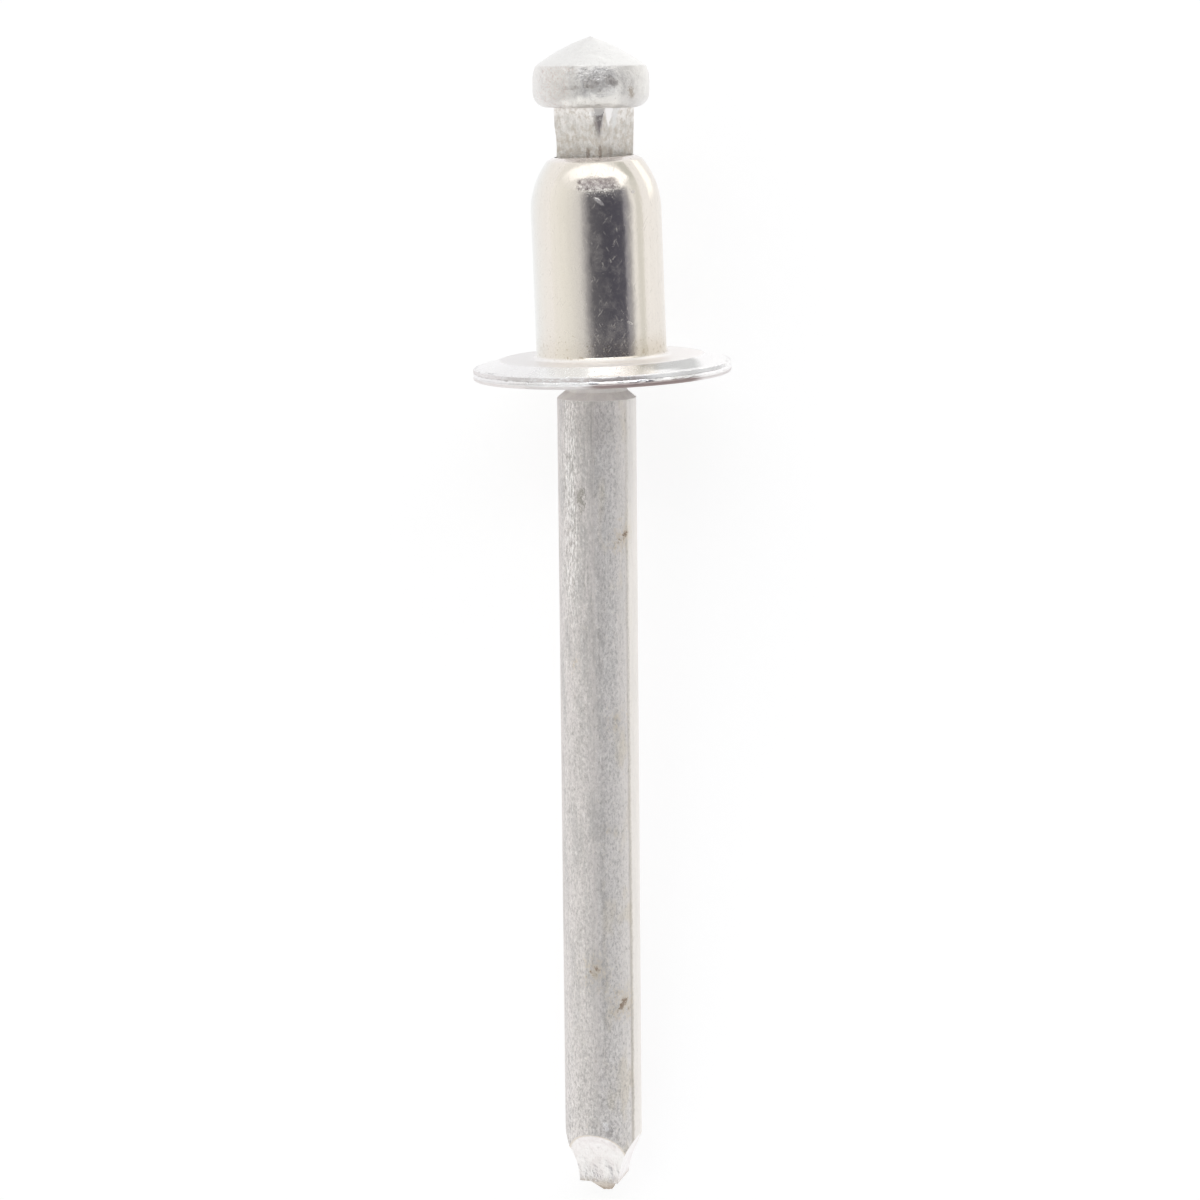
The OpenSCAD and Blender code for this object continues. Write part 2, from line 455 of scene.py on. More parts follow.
# ---- finishes ----
def bright_nickel():
    """The drawn and plated sleeve and flange, with specks, scratches and nicks from handling, and
    with painted shade, highlights and reflections.
    """
    made, n = material("bright_nickel")
    place = n.upright(body_frame)
    x, y, z = n.xyz(place)
    reach = n.length(x, y)
    turn = n.turn(x, y)
    arc_at = turn * (math.pi / 180 * BODY_R)

    drawn = n.noise(n.vector(x, y, z * 0.03), 5, detail=3)
    colour = n.mix(drawn, rgb(0.75, 0.70, 0.64), rgb(0.82, 0.77, 0.705))
    # Painted reflection: the left side of the sleeve is tinted a cooler grey.
    colour = n.mix(n.rise(turn * -1, 45, 85), colour, rgb(0.765, 0.77, 0.755))
    # Painted shade: browner and darker in the corner at the foot of the sleeve, most on its right
    # side.
    foot = (1 - n.rise(z, 0.2, 1.1)) * (n.rise(turn, 0, 30) * 0.6 + 0.4)
    colour = n.mix(foot * 0.6, colour, rgb(0.62, 0.545, 0.44))
    blotch = n.noise(place, 7, detail=3)
    uneven = z + (blotch - 0.5) * 0.2
    # Painted reflection: a dark, mottled patch on the top of the shoulder, which is also rougher
    # there.
    scuff_and_dark_reflection = n.within(uneven, 6.24, 6.54, 0.09) * n.within(turn + (blotch - 0.5) * 14, -12, 17, 8)
    painted_dark_reflection = scuff_and_dark_reflection * (n.rise(blotch, 0.35, 0.65) * 0.3 + 0.62)
    colour = n.mix(painted_dark_reflection, colour, rgb(0.17, 0.14, 0.135))
    rim_top = n.rise(z, BODY_LEN - 0.2, BODY_LEN - 0.05)
    colour = n.mix(rim_top * 0.6, colour, rgb(0.92, 0.86, 0.85))
    # Painted highlight: the flange and its ring are coloured near white, paler than the same
    # plating on the sleeve.
    on_flange = 1 - n.rise(z, 0.02, 0.17)
    colour = n.mix(on_flange, colour, rgb(1.0, 0.972, 0.96))
    on_ring = on_flange * n.rise(reach, SEAT_R, SEAT_R + 0.12)
    colour = n.mix(on_ring, colour, rgb(0.95, 0.94, 0.935))
    # Painted reflection: grey patches on the ring, large on its right side and faint on its left.
    painted_grey_reflection = n.rise(x * -1 + z * 2.5, 0.9, 1.7) * n.rise(x, -3.75, -3.25)
    painted_grey_reflection = painted_grey_reflection * (1 - n.rise(reach, 4.28, 4.5) * (1 - n.rise(turn, 28, 42)))
    painted_grey_reflection = painted_grey_reflection * (1 - n.rise(reach, 4.55, 4.64) * 0.7)
    painted_grey_reflection = painted_grey_reflection * (1 - n.rise(turn, 56, 66)) * on_ring
    painted_grey_reflection = n.most(painted_grey_reflection, n.within(turn, -56, -34, 20) * on_ring * 0.3)
    colour = n.mix(painted_grey_reflection, colour, rgb(0.54, 0.54, 0.53))
    # Painted highlight: the ring is coloured white, and made less metallic, left of its top.
    painted_ring_highlight = n.within(turn, -32, -9, 8) * on_ring
    colour = n.mix(painted_ring_highlight, colour, rgb(1.0, 1.0, 1.0))
    # Painted reflection: the flange is tinted a lilac grey on its left side.
    painted_lilac_reflection = n.rise(x, 1.2, 3.0) * n.rise(turn * -1, 10, 30) * on_flange
    colour = n.mix(painted_lilac_reflection * 0.75, colour, rgb(0.80, 0.785, 0.79))

    # Specks, smears and short scratches, thicker near the foot of the sleeve and at its shoulder.
    fine = n.noise(place, 16, detail=4, roughness=0.65)
    cloudy = n.noise(place, 2.3, detail=6, roughness=0.7)
    low = 1 - n.rise(z, 0.2, 2.5)
    top = n.rise(z, 5.75, 6.1) * (1 - n.rise(z, 6.35, 6.5)) * n.within(turn, -20, 25, 10)
    near_foot = 1 - n.rise(z, 0.2, 1.7)
    specks = n.rise(fine + near_foot * 0.068 + top * 0.10, 0.66, 0.75)
    slant = n.vector(arc_at * 9 + z * 4, z * 1.2 - arc_at * 0.6, reach)
    scratch = n.rise(n.noise(slant, 1.6, detail=2), 0.66, 0.71)
    slant_back = n.vector(arc_at * 8 - z * 6, z * 1.1 + arc_at * 0.9, reach)
    scratch = n.most(scratch, n.rise(n.noise(slant_back, 1.4, detail=2), 0.66, 0.71))
    smears = n.rise(cloudy, 0.45, 0.66) * (n.within(turn, -20, 30, 16) * 0.7 + 0.3)
    nicks = n.marks(
        arc_at,
        z,
        (
            (0.13, 5.76, 0.28, 0.085, 40, 1),
            (1.10, 1.38, 0.15, 0.045, 30, 1),
            (1.52, 6.05, 0.10, 0.08, 0, 0.8),
        ),
    )
    dirt = n.rise(n.noise(place, 9, detail=3) + near_foot * 0.08, 0.66, 0.74) * (1 - on_flange)
    dirt = dirt * (near_foot * 0.75 + 0.25)
    colour = n.mix(nicks * 0.4, colour, rgb(0.50, 0.49, 0.53))
    colour = n.mix(dirt * 0.5, colour, rgb(0.42, 0.34, 0.24))

    # The sheared rim: bright and dark lines under its lip; the dark lines, and the dark seam along
    # its lower edge, are painted shade, deepest on one side.
    ragged = n.noise(n.vector(x, y, z * 2.5), 5, detail=4, roughness=0.7)
    depth = z + (ragged - 0.5) * 0.05
    at_rim = n.rise(reach, FLANGE_R - 0.13, FLANGE_R - 0.09)
    under_lip = n.within(depth, -0.42, -0.30, 0.02) * at_rim
    seam = n.within(depth, -0.63, -0.54, 0.02) * at_rim
    below = (1 - n.rise(depth, -0.60, -0.56)) * at_rim
    shaded = n.within(turn, 3, 38, 14)
    colour = n.mix(below, colour, rgb(0.88, 0.835, 0.83))
    lip = under_lip * n.rise(ragged, 0.36, 0.52) * (1 - n.rise(turn, 12, 24))
    colour = n.mix(lip * (n.rise(turn, -50, 0) * 0.35 + 0.3), colour, rgb(0.45, 0.37, 0.35))
    dark = (seam * 0.6 + below) * shaded
    colour = n.mix(n.least(dark, 0.85), colour, rgb(0.28, 0.20, 0.19))

    roughness = 0.11 + specks * 0.3 + nicks * 0.25 + scratch * 0.15 + low * 0.03
    on_seat = on_flange - on_ring
    roughness = roughness + on_ring * 0.1 + on_seat * 0.33 + (lip + seam + below) * 0.15
    roughness = roughness + scuff_and_dark_reflection * 0.16
    roughness = n.least(roughness, 0.7)
    haze = smears * 0.12 + specks * 0.12 + scratch * 0.15 + nicks * 0.08
    haze = haze + low * 0.065 + top * 0.06
    haze = haze * (1 - on_flange) + painted_ring_highlight * 0.65 + below * 0.5 + on_seat * 0.2 + rim_top * 0.25
    worn = n.within(turn, -42, 62, 14) * (0.95 - n.within(turn, -15, 14, 12) * 0.55)
    haze = haze + under_lip * worn
    waves = n.noise(place, 1.3, detail=2)
    normal = n.bump(waves, 0.012)
    normal = n.bump(blotch, 0.0015 * top + 0.0006, normal)
    normal = n.bump(fine + scratch * 0.4, 0.0014, normal)
    normal = n.bump(nicks, 0.0045, normal)
    n.metal(colour, roughness, normal, 1 - haze)
    return made


def wire_marks(n, turn, z, torn):
    """Brown specks that stick to the wire, each with its height, turn, size and strength."""
    spots = (
        (-6.46, 44, 0.17, 1.0),
        (-6.69, 32, 0.17, 0.9),
        (-5.9, 34, 0.07, 0.6),
        (-13.4, 26, 0.30, 0.4),
        (-22.98, -9, 0.26, 0.8),
        (-23.1, -15, 0.18, 0.6),
        (-23.95, 24, 0.20, 0.6),
        (-24.3, 33, 0.24, 1.0),
        (-24.45, 29, 0.20, 0.9),
        (-24.6, 41, 0.16, 0.8),
        (-11.2, -36, 0.12, 0.5),
        (-17.6, 12, 0.14, 0.4),
        (-9.6, 150, 0.2, 0.8),
        (-19.3, -120, 0.16, 0.8),
    )
    marks = 0
    for height, at, size, strength in spots:
        aside = (turn - at) * (math.pi / 180 * STEM_R) + (torn - 0.5) * 0.9
        along = (z - height) * 0.8 + (torn - 0.5) * 0.6
        near = n.length(aside, along)
        halo = (1 - n.rise(near, 0, size * 4)) * 0.45
        mark = n.most(1 - n.rise(near, 0, size * 1.3), halo) * strength
        marks = n.most(mark, marks)
    return marks


def neck_fold(n, turn, z, torn):
    """Painted shade in the crease that runs down the neck from under the head, between two flats.
    """
    wander = (torn - 0.5) * 16
    reach = n.sum("ABSOLUTE", turn - 6.5 + wander) - (z - 7.75) * 7.5
    up = z + (torn - 0.5) * 1.6 - n.sum("ABSOLUTE", turn - 8) * 0.03
    return (1 - n.rise(reach, -4.5, 4.5)) * n.rise(z, 7.75, 8.3) * (1 - n.rise(up, 8.5, 8.8))


def drawn_wire():
    """Wire pulled through a die: fine lines along it, grit and pits, and one burnished stripe; with
    painted light and shade on its sides, in its groove and on its neck.
    """
    made, n = material("drawn_wire")
    place = n.upright(stem_frame)
    x, y, z = n.xyz(place)
    turn = n.turn(x, y)
    streak = n.noise(n.vector(x, y, z * 0.035), 13, detail=4, roughness=0.62)
    broad = n.noise(n.vector(x, y, z * 0.02), 2.6, detail=2)
    cloud = n.noise(n.vector(x, y, z * 0.22), 2.4, detail=4, roughness=0.6)
    grit = n.noise(n.vector(x, y, z * 0.55), 12, detail=6, roughness=0.8)
    pit = n.rise(n.noise(n.vector(x, y, z * 0.45), 10, detail=3, roughness=0.6), 0.60, 0.70)
    colour = n.mix(n.rise(streak, 0.3, 0.7), rgb(0.60, 0.575, 0.56), rgb(0.70, 0.67, 0.65))
    colour = n.mix(n.rise(broad, 0.4, 0.65) * 0.6, colour, rgb(0.72, 0.69, 0.675))
    colour = n.mix(n.rise(cloud, 0.42, 0.62) * 0.45, colour, rgb(0.83, 0.785, 0.775))
    colour = n.mix((1 - n.rise(cloud, 0.34, 0.5)) * 0.3, colour, rgb(0.52, 0.51, 0.515))
    # Painted light: the wire is paler on its right side, and grows paler towards the tail.
    painted_sheen = n.within(turn, 14, 44, 14) * 0.5 + (1 - n.rise(z, -30, -4)) * 0.25
    colour = n.mix(painted_sheen, colour, rgb(0.88, 0.85, 0.83))
    warm = n.rise(n.noise(n.vector(x, y, z * 0.45), 1.1, detail=3), 0.5, 0.64)
    colour = n.mix(warm * n.within(turn, 8, 50, 12) * 0.5, colour, rgb(0.76, 0.70, 0.60))
    coarse = n.within(turn + (broad - 0.5) * 16, 0, 26, 8) * 0.45
    side = n.within(turn, -62, -20, 16) * 0.35
    # Painted highlight: a streak of bright and dark lines down the left of the wire, near the body.
    painted_highlight_streak = n.within(turn + (broad - 0.5) * 20, -50, -37, 7) * n.rise(z, -11, -7)
    ends = n.rise(z * -1, 24, 29.5) * 0.3
    worn = coarse + painted_highlight_streak * 0.4 + side + ends
    colour = n.mix(coarse * 0.25, colour, rgb(0.62, 0.625, 0.64))
    hollow = (1 - n.rise(grit, 0.36, 0.52)) * (worn * 0.5 + 0.36)
    colour = n.mix(hollow, colour, rgb(0.39, 0.37, 0.365))
    glint = n.rise(grit + worn * 0.06, 0.54, 0.67)
    colour = n.mix(glint * (worn * 0.5 + 0.38), colour, rgb(1.0, 0.98, 0.965))
    comb = n.noise(n.vector(x, y, z * 0.12), 24, detail=3, roughness=0.65)
    colour = n.mix(painted_highlight_streak * n.rise(comb, 0.52, 0.62) * 0.8, colour, rgb(1.0, 0.985, 0.97))
    colour = n.mix(painted_highlight_streak * (1 - n.rise(comb, 0.38, 0.46)) * 0.5, colour, rgb(0.40, 0.37, 0.345))
    colour = n.mix(pit * 0.3, colour, rgb(0.42, 0.39, 0.36))
    sway = turn + (n.noise(n.vector(0, 0, z), 0.9, detail=3) - 0.5) * 5 + (grit - 0.5) * 9
    sway = sway - n.rise(z * -1, 8, 29) * 3.5
    stripe = n.within(sway, 49, 100, 3)
    edge = n.within(sway, 45.5, 48, 4) * (n.rise(z * -1, 2, 28) * 0.25 + 0.2)
    # Painted sheen: the stripe is coloured paler, more so away from the body and towards its outer
    # side.
    stripe_sheen_colour = n.mix(n.rise(z, -7.5, -4), rgb(0.89, 0.855, 0.81), rgb(0.74, 0.715, 0.69))
    stripe_sheen_colour = n.mix(n.rise(turn, 56, 70) * 0.5, stripe_sheen_colour, rgb(0.93, 0.895, 0.85))
    colour = n.mix(stripe * 0.7, colour, stripe_sheen_colour)
    colour = n.mix(edge, colour, rgb(0.42, 0.37, 0.31))
    torn = n.noise(place, 5, detail=5, roughness=0.75)
    marks = wire_marks(n, turn, z, torn) + (torn - 0.5) * 1.2 + (grit - 0.5) * 1.6
    scarred = turn + (z + 5.15) * 8 + (torn - 0.5) * 50 + (grit - 0.5) * 40
    scar = n.mark(scarred, z + (torn - 0.5) * 1.2, -25, -5.15, 6, 0.5, 0)
    colour = n.mix(scar * 0.7, colour, rgb(0.31, 0.29, 0.25))
    # Painted shade in a gouge just above the nipped point, with a painted glint on its burr.
    gouged = turn + (grit - 0.5) * 40
    gouge = n.mark(gouged, z, 9, -29.3, 7, 0.30, 0)
    colour = n.mix(gouge * 0.4, colour, rgb(0.33, 0.30, 0.30))
    burr = n.mark(gouged, z, 4, -29.15, 4.5, 0.24, 0)
    colour = n.mix(burr * 0.8, colour, rgb(0.97, 0.965, 0.97))
    colour = n.mix(n.rise(marks, 0.15, 0.55) * 0.45, colour, rgb(0.68, 0.59, 0.45))
    brown = n.rise(marks, 0.48, 0.95)
    colour = n.mix(brown * 0.75, colour, rgb(0.30, 0.20, 0.14))
    # The neck is paler, and palest just under the head as painted light.
    on_neck = n.rise(z, BODY_LEN - 0.1, BODY_LEN + 0.3)
    colour = n.mix(on_neck * (0.5 + n.rise(z, 8.5, 8.8) * 0.4), colour, rgb(0.90, 0.88, 0.865))
    # Painted shade in the crease down the neck.
    colour = n.mix(neck_fold(n, turn, z, torn) * 0.85, colour, rgb(0.26, 0.23, 0.23))
    # Painted light: the groove under the flange, where the flange shades it, is coloured pale and
    # made nearly non-metallic.
    in_groove = n.within(z, -1.50, 0.3, 0.03)
    grooved = n.mix(n.rise(cloud, 0.4, 0.6) * 0.6, rgb(1.0, 0.97, 0.94), rgb(0.84, 0.80, 0.80))
    colour = n.mix(in_groove * 0.95, colour, grooved)
    roughness = 0.60 + pit * 0.12 - stripe * 0.16 + brown * 0.2 + in_groove * 0.1
    normal = n.bump(streak, 0.02)
    normal = n.bump(grit, 0.014, normal)
    normal = n.bump(1 - pit, 0.006, normal)
    n.metal(colour, roughness, normal, 1 - in_groove * 0.9)
    return made


def struck_metal():
    """The head, as the heading punch left it."""
    made, n = material("struck_metal")
    place = n.upright(stem_frame)
    x, y, z = n.xyz(place)
    turn = n.turn(x, y)
    mottle = n.noise(place, 3.2, detail=4, roughness=0.6)
    grain = n.noise(place, 14, detail=4, roughness=0.65)
    colour = n.mix(n.rise(mottle, 0.35, 0.65), rgb(0.66, 0.64, 0.62), rgb(0.77, 0.75, 0.73))
    # Painted light: the head is paler on its sides, away from the top.
    turned_away = n.rise(n.sum("ABSOLUTE", turn - 3), 38, 75)
    colour = n.mix(turned_away * 0.55, colour, rgb(0.88, 0.87, 0.86))
    # Painted light: the cone is pale, palest on its right side.
    on_cone = n.rise(z + (mottle - 0.5) * 0.08, HEAD_TOP - 0.03, HEAD_TOP + 0.05)
    pale = n.mix(n.rise(turn, -40, 40), rgb(0.86, 0.855, 0.845), rgb(0.99, 0.985, 0.97))
    colour = n.mix(on_cone * 0.75, colour, pale)
    # Painted highlight: a near-white band round the lower part of the head, on its top side.
    slope = z - turn * 0.011 + (mottle - 0.5) * 0.5
    under = 1 - n.rise(slope, HEAD_TOP - 1.02, HEAD_TOP - 0.82)
    under = under * n.within(turn, -30, 22, 12)
    colour = n.mix(under * 0.9, colour, rgb(1.0, 0.98, 0.95))
    pit = n.rise(grain, 0.62, 0.72)
    colour = n.mix(pit * 0.4, colour, rgb(0.48, 0.43, 0.40))
    ruddy = n.rise(grain, 0.5, 0.60) * n.within(turn + (mottle - 0.5) * 40, -58, -32, 14)
    colour = n.mix(ruddy * (1 - on_cone) * 0.35, colour, rgb(0.62, 0.47, 0.43))
    across = turn * (math.pi / 180 * HEAD_R)
    speck = n.mark(across + (grain - 0.5) * 0.9, z, 1.52, 9.62, 0.30, 0.14, 65)
    colour = n.mix(speck * 0.5, colour, rgb(0.42, 0.34, 0.26))
    # Painted reflection: dark patches in the dents under the rim of the cone, kept off the painted
    # highlight below.
    dent_dark_reflection = n.marks(
        across,
        z,
        (
            (-0.10, 9.93, 0.42, 0.22, 0, 1),
            (0.68, 9.98, 0.40, 0.24, 35, 1),
            (0.34, 9.70, 0.50, 0.16, -20, 0.8),
            (-0.72, 9.80, 0.70, 0.10, -4, 0.75),
        ),
    )
    torn = n.noise(place, 7, detail=4, roughness=0.65)
    dent_dark_reflection = n.rise(dent_dark_reflection + (torn - 0.5) * 2.4, 0.3, 1.5) * (1 - under * 0.7)
    colour = n.mix(dent_dark_reflection * 0.68, colour, rgb(0.29, 0.25, 0.23))
    roughness = 0.36 + mottle * 0.22 + pit * 0.15 + speck * 0.2
    normal = n.bump(mottle, 0.09)
    normal = n.bump(grain, 0.012 + under * 0.012, normal)
    n.metal(colour, roughness, normal)
    return made


def pinched_metal():
    """The flats of the neck, rough from the jaws that pinched them."""
    made, n = material("pinched_metal")
    place = n.upright(stem_frame)
    x, y, z = n.xyz(place)
    mottle = n.noise(n.vector(x, y, z * 0.6), 6, detail=4, roughness=0.65)
    grain = n.noise(place, 18, detail=4, roughness=0.7)
    colour = n.mix(n.rise(mottle, 0.3, 0.7), rgb(0.62, 0.595, 0.56), rgb(0.80, 0.775, 0.75))
    pit = n.rise(grain + (8.1 - z) * 0.05, 0.60, 0.70)
    colour = n.mix(pit * 0.6, colour, rgb(0.30, 0.26, 0.22))
    # Painted shade: a little darker towards the foot of the neck.
    foot = 1 - n.rise(z + (mottle - 0.5) * 0.5, 7.4, 7.95)
    colour = n.mix(foot * 0.15, colour, rgb(0.36, 0.33, 0.28))
    # Painted light: the neck is near white just under the head.
    under_head = n.rise(z + (mottle - 0.5) * 0.8, 8.3, 9.15)
    colour = n.mix(under_head * 0.8, colour, rgb(1.0, 0.97, 0.95))
    turn = n.turn(x, y)
    # Painted shade: dark recesses at the foot of the neck, where the flats leave gaps in the
    # crimped hole.
    recess = n.marks(
        turn,
        z,
        ((-12, 7.42, 6, 0.30, 0, 0.9), (9, 7.5, 4, 0.36, 0, 1), (32, 7.45, 8, 0.3, 0, 0.6)),
    )
    recess = n.rise(recess + (grain - 0.5) * 2.2, 0.1, 1.3)
    colour = n.mix(recess * 0.8, colour, rgb(0.22, 0.16, 0.13))
    torn = n.noise(place, 5, detail=5, roughness=0.75)
    stain = n.rise(torn - n.rise(z, 7.6, 8.9) * 0.05, 0.44, 0.56)
    colour = n.mix(stain * 0.45, colour, rgb(0.50, 0.43, 0.35))
    # Painted light: a paler facet on the right of the neck, widening up towards the head.
    facet = n.sum("ABSOLUTE", turn - 40 + (torn - 0.5) * 24) - (z - 8.1) * 14
    facet = (1 - n.rise(facet, -4, 4)) * n.rise(z, 8.1, 8.4)
    colour = n.mix(facet * 0.7, colour, rgb(0.81, 0.805, 0.80))
    # Painted highlight: a thin bright crescent high on the neck, under the head.
    crest = n.rise(n.mark(turn, z, -2, 8.86, 8, 0.11, 0) + (grain - 0.5) * 1.5, 0.1, 0.9)
    colour = n.mix(crest * 0.8, colour, rgb(1.0, 0.985, 0.98))
    # Painted shade in the crease down the neck.
    colour = n.mix(neck_fold(n, turn, z, torn) * 0.85, colour, rgb(0.26, 0.23, 0.23))
    # Painted highlight: a white wedge on the neck, narrowing down from under the head.
    painted_highlight_wedge = n.sum("ABSOLUTE", turn - 25.5 + (torn - 0.5) * 10) - (z - 8.3) * 12.5
    painted_highlight_wedge = (1 - n.rise(painted_highlight_wedge, -2, 2)) * n.rise(z, 8.3, 8.5)
    colour = n.mix(painted_highlight_wedge * 0.9, colour, rgb(1.0, 0.985, 0.985))
    roughness = 0.46 + pit * 0.15 + foot * 0.1
    normal = n.bump(mottle, 0.03)
    normal = n.bump(grain, 0.02, normal)
    n.metal(colour, roughness, normal)
    return made


def nipped_metal():
    """Fresh metal where the tool nipped the wire off, with fine lines down to the torn end."""
    made, n = material("nipped_metal")
    place = n.upright(stem_frame)
    x, y, z = n.xyz(place)
    fan = (z + 33.5) * 0.4
    lines = n.noise(n.vector(x / fan, y / fan, z * 0.2), 7, detail=5, roughness=0.7)
    grain = n.noise(place, 13, detail=3)
    folds = n.noise(n.vector(x, y, z * 0.7), 2.6, detail=4, roughness=0.6)
    colour = n.mix(n.rise(folds, 0.35, 0.65), rgb(0.89, 0.85, 0.845), rgb(0.96, 0.94, 0.935))
    colour = n.mix((1 - n.rise(lines, 0.36, 0.48)) * 0.25, colour, rgb(0.72, 0.67, 0.66))
    reach = n.length(x, y) + (grain - 0.5) * 0.08
    colour = n.mix(n.rise(reach, STEM_R - 0.09, STEM_R - 0.02) * 0.6, colour, rgb(0.66, 0.58, 0.46))
    torn = 1 - n.rise(z + (grain - 0.5) * 0.5, -31.7, -31.35)
    colour = n.mix(torn * 0.8, colour, rgb(0.62, 0.56, 0.49))
    deep = 1 - n.rise(z + (grain - 0.5) * 0.35, -32.1, -31.75)
    colour = n.mix(deep * 0.7, colour, rgb(0.42, 0.33, 0.25))
    roughness = 0.38 + torn * 0.2
    normal = n.bump(folds, 0.14)
    normal = n.bump(grain, 0.012, normal)
    n.metal(colour, roughness, normal)
    return made


# ---- modelling ----
def select_nothing():
    bpy.ops.object.select_all(action="DESELECT")


def select_only(piece):
    select_nothing()
    piece.select_set(True)
    bpy.context.view_layer.objects.active = piece


def arc(across, up, radius, start, end, steps):
    """Points on an arc of an outline, by the angle from straight out."""
    points = []
    for i in range(steps + 1):
        angle = math.radians(start + (end - start) * i / steps)
        points.append((across + radius * math.cos(angle), up + radius * math.sin(angle)))
    return points


def line(start, end, steps):
    """Points on a straight stretch of an outline, without its last one."""
    return [
        (start[0] + (end[0] - start[0]) * i / steps, start[1] + (end[1] - start[1]) * i / steps)
        for i in range(steps)
    ]


def arc_radius(run, off):
    return (run**2 + off**2) / (2 * off)


def shoulder_arc():
    """The arc of the shoulder: how far out its middle is, its radius, and its radius inside."""
    radius = arc_radius(SHOULDER_LEN, BODY_R - HOLE_R - LIP_W)
    middle = BODY_R - radius
    return middle, radius, BORE_R - middle


def dome_arc():
    """The dome under the flange: its radius, its middle's height, and its depth at the bore."""
    radius = arc_radius(FLANGE_R - RIM_ROUND, DOME_H)
    middle = radius - RIM_Z - DOME_H
    return radius, middle, math.sqrt(radius**2 - BORE_R**2) - middle


def turned(name, outline, steps, off=0.0):
    """A piece turned as on a lathe: an outline of (radius, height) points, spun round the axis."""
    select_nothing()
    start = outline[0]
    bpy.ops.mesh.primitive_plane_add(size=0.01, location=(start[0], 0, start[1]))
    piece = bpy.context.object
    piece.name = piece.data.name = name
    bpy.ops.object.transform_apply(location=True)
    bpy.ops.object.mode_set(mode="EDIT")
    bpy.ops.mesh.select_all(action="SELECT")
    bpy.ops.mesh.merge(type="CENTER")
    for (r0, z0), (r1, z1) in zip(outline, outline[1:]):
        bpy.ops.mesh.extrude_region_move(
            TRANSFORM_OT_translate={"value": (r1 - r0, 0, z1 - z0)}
        )
    bpy.ops.mesh.select_all(action="SELECT")
    bpy.ops.mesh.spin(steps=steps, angle=math.tau, center=(0, 0, 0), axis=(0, 0, 1))
    bpy.ops.mesh.select_all(action="SELECT")
    bpy.ops.mesh.remove_doubles(threshold=0.0001)
    bpy.ops.mesh.normals_make_consistent(inside=False)
    if off:
        bpy.ops.transform.translate(value=(off, 0, 0))
    bpy.ops.object.mode_set(mode="OBJECT")
    return piece


def ragged(piece, near, far, low, high, offset, seed=3):
    """Roughens the part of a piece between two distances from the axis and two heights."""
    select_only(piece)
    bpy.ops.object.mode_set(mode="EDIT")
    bpy.ops.mesh.select_all(action="DESELECT")
    bpy.ops.object.mode_set(mode="OBJECT")
    for vertex in piece.data.vertices:
        x, y, z = vertex.co
        vertex.select = near < math.hypot(x, y) < far and low < z < high
    bpy.ops.object.mode_set(mode="EDIT")
    bpy.ops.transform.vertex_random(offset=offset, seed=seed)
    bpy.ops.object.mode_set(mode="OBJECT")


def dented(piece, size, depth):
    """Gives a piece shallow dents and humps, as from a hammer or a worn die."""
    clouds = bpy.data.textures.new(piece.name, "CLOUDS")
    clouds.noise_scale = size
    dents = piece.modifiers.new("dents", "DISPLACE")
    dents.texture = clouds
    dents.strength = depth
    dents.mid_level = 0.5
    select_only(piece)
    bpy.ops.object.modifier_apply(modifier=dents.name)


def around(turn, reach, height):
    """The place that is so far from the axis at this turn."""
    angle = math.radians(90 + turn)
    return (reach * math.cos(angle), reach * math.sin(angle), height)


def jaw(name, radius, reach, height, turn, finish):
    """A round jaw lying across the wire at one side of it."""
    select_nothing()
    bpy.ops.mesh.primitive_cylinder_add(
        vertices=256,
        radius=radius,
        depth=5,
        location=around(turn, reach, height),
        rotation=(math.pi / 2, 0, math.radians(90 + turn)),
    )
    tool = bpy.context.object
    tool.name = name
    bpy.ops.object.transform_apply(location=True, rotation=True)
    tool.data.materials.append(finish)
    return tool


def combine(piece, tool, operation):
    """Cuts a tool's shape out of a piece, or joins it on. The new faces keep the tool's finish."""
    cut = piece.modifiers.new(operation.lower(), "BOOLEAN")
    cut.operation = operation
    cut.solver = "EXACT"
    cut.material_mode = "TRANSFER"
    cut.object = tool
    select_only(piece)
    bpy.ops.object.modifier_apply(modifier=cut.name)
    bpy.data.objects.remove(tool)


def cleaned(piece, nearer):
    """Takes out the slivers that cutting leaves, where corners lie almost in one place."""
    select_only(piece)
    bpy.ops.object.mode_set(mode="EDIT")
    bpy.ops.mesh.select_all(action="SELECT")
    bpy.ops.mesh.remove_doubles(threshold=nearer)
    bpy.ops.mesh.dissolve_degenerate(threshold=nearer)
    bpy.ops.mesh.vert_connect_concave()
    bpy.ops.object.mode_set(mode="OBJECT")


def lay_down(piece, lying):
    """Brings a finished piece from where it was drawn upright to where it lies in the frame."""
    select_only(piece)
    piece.matrix_world = lying
    bpy.ops.object.transform_apply(location=True, rotation=True, scale=True)


def smooth(piece, degrees):
    """Shades a piece smooth, except over edges sharper than this."""
    select_only(piece)
    bpy.ops.object.shade_smooth_by_angle(angle=math.radians(degrees))


